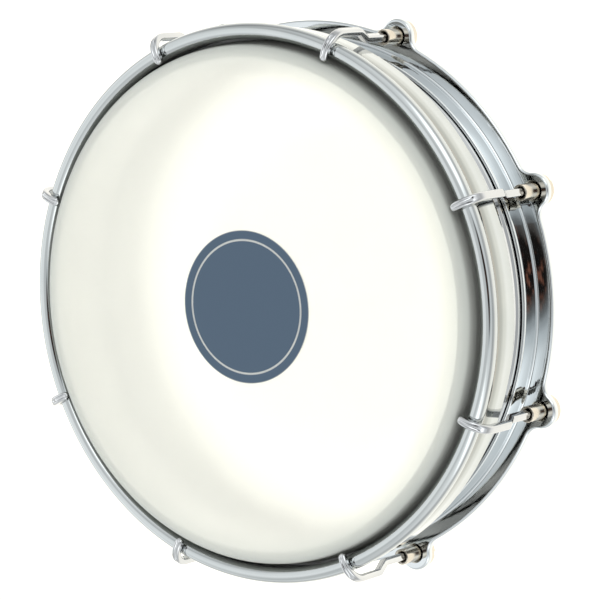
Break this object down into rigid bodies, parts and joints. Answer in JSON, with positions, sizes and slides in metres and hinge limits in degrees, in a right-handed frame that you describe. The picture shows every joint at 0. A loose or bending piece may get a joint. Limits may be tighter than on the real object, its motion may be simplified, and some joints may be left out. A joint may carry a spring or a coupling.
{
  "type": "tamborim",
  "caption": "Small hand-held frame drum: shallow chromed shell, tucked white film head under a rolled hoop, pulled down by claw hooks and sleeve nuts on a loose eared ring.",
  "frame": {"origin": "on the drum's axis, in the plane of the shell's rear edge, which the drum rests on", "axes": "+Z along the drum's axis towards the head, +X through the first ear of the ring"},
  "size_m": [0.1774, 0.1774, 0.045],
  "materials": {
    "shell_chrome": "polished chrome plate on steel",
    "ring_chrome": "polished chrome plate on steel",
    "hoop_chrome": "polished chrome plate on steel",
    "channel_aluminium": "plain",
    "head_film": "smooth, slightly translucent polyester film",
    "nut_nickel": "nickel plated, polished",
    "hook_chrome": "polished chrome plate on steel"
  },
  "bodies": {
    "drum": {"shell": "shell_chrome", "tension_ring": "ring_chrome", "counter_hoop": "hoop_chrome", "flesh_hoop": "channel_aluminium", "drum_head": "head_film"},
    "nut_1": {"tuning_nut_1": "nut_nickel"},
    "hook_1": {"claw_hook_1": "hook_chrome"},
    "nut_2": {"tuning_nut_2": "nut_nickel"},
    "hook_2": {"claw_hook_2": "hook_chrome"},
    "nut_3": {"tuning_nut_3": "nut_nickel"},
    "hook_3": {"claw_hook_3": "hook_chrome"},
    "nut_4": {"tuning_nut_4": "nut_nickel"},
    "hook_4": {"claw_hook_4": "hook_chrome"},
    "nut_5": {"tuning_nut_5": "nut_nickel"},
    "hook_5": {"claw_hook_5": "hook_chrome"},
    "nut_6": {"tuning_nut_6": "nut_nickel"},
    "hook_6": {"claw_hook_6": "hook_chrome"},
    "nut_7": {"tuning_nut_7": "nut_nickel"},
    "hook_7": {"claw_hook_7": "hook_chrome"},
    "nut_8": {"tuning_nut_8": "nut_nickel"},
    "hook_8": {"claw_hook_8": "hook_chrome"}
  },
  "joints": [
    {"name": "nut_1_turn", "type": "hinge", "parent": "drum", "child": "nut_1", "pos_m": [0.0834, 0, 0.0065], "axis": [0, 0, -1], "range_deg": [0, 2880]},
    {"name": "hook_1_draw", "type": "slide", "parent": "drum", "child": "hook_1", "axis": [0, 0, 1], "range_m": [0, 0.0036]},
    {"name": "nut_2_turn", "type": "hinge", "parent": "drum", "child": "nut_2", "pos_m": [0.05897, 0.05897, 0.0065], "axis": [0, 0, -1], "range_deg": [0, 2880]},
    {"name": "hook_2_draw", "type": "slide", "parent": "drum", "child": "hook_2", "axis": [0, 0, 1], "range_m": [0, 0.0036]},
    {"name": "nut_3_turn", "type": "hinge", "parent": "drum", "child": "nut_3", "pos_m": [0, 0.0834, 0.0065], "axis": [0, 0, -1], "range_deg": [0, 2880]},
    {"name": "hook_3_draw", "type": "slide", "parent": "drum", "child": "hook_3", "axis": [0, 0, 1], "range_m": [0, 0.0036]},
    {"name": "nut_4_turn", "type": "hinge", "parent": "drum", "child": "nut_4", "pos_m": [-0.05897, 0.05897, 0.0065], "axis": [0, 0, -1], "range_deg": [0, 2880]},
    {"name": "hook_4_draw", "type": "slide", "parent": "drum", "child": "hook_4", "axis": [0, 0, 1], "range_m": [0, 0.0036]},
    {"name": "nut_5_turn", "type": "hinge", "parent": "drum", "child": "nut_5", "pos_m": [-0.0834, 0, 0.0065], "axis": [0, 0, -1], "range_deg": [0, 2880]},
    {"name": "hook_5_draw", "type": "slide", "parent": "drum", "child": "hook_5", "axis": [0, 0, 1], "range_m": [0, 0.0036]},
    {"name": "nut_6_turn", "type": "hinge", "parent": "drum", "child": "nut_6", "pos_m": [-0.05897, -0.05897, 0.0065], "axis": [0, 0, -1], "range_deg": [0, 2880]},
    {"name": "hook_6_draw", "type": "slide", "parent": "drum", "child": "hook_6", "axis": [0, 0, 1], "range_m": [0, 0.0036]},
    {"name": "nut_7_turn", "type": "hinge", "parent": "drum", "child": "nut_7", "pos_m": [0, -0.0834, 0.0065], "axis": [0, 0, -1], "range_deg": [0, 2880]},
    {"name": "hook_7_draw", "type": "slide", "parent": "drum", "child": "hook_7", "axis": [0, 0, 1], "range_m": [0, 0.0036]},
    {"name": "nut_8_turn", "type": "hinge", "parent": "drum", "child": "nut_8", "pos_m": [0.05897, -0.05897, 0.0065], "axis": [0, 0, -1], "range_deg": [0, 2880]},
    {"name": "hook_8_draw", "type": "slide", "parent": "drum", "child": "hook_8", "axis": [0, 0, 1], "range_m": [0, 0.0036]}
  ],
  "couplings": [
    {"joint": "nut_1_turn", "follows": "hook_1_draw", "rad_per_m": 13963},
    {"joint": "nut_2_turn", "follows": "hook_2_draw", "rad_per_m": 13963},
    {"joint": "nut_3_turn", "follows": "hook_3_draw", "rad_per_m": 13963},
    {"joint": "nut_4_turn", "follows": "hook_4_draw", "rad_per_m": 13963},
    {"joint": "nut_5_turn", "follows": "hook_5_draw", "rad_per_m": 13963},
    {"joint": "nut_6_turn", "follows": "hook_6_draw", "rad_per_m": 13963},
    {"joint": "nut_7_turn", "follows": "hook_7_draw", "rad_per_m": 13963},
    {"joint": "nut_8_turn", "follows": "hook_8_draw", "rad_per_m": 13963}
  ]
}
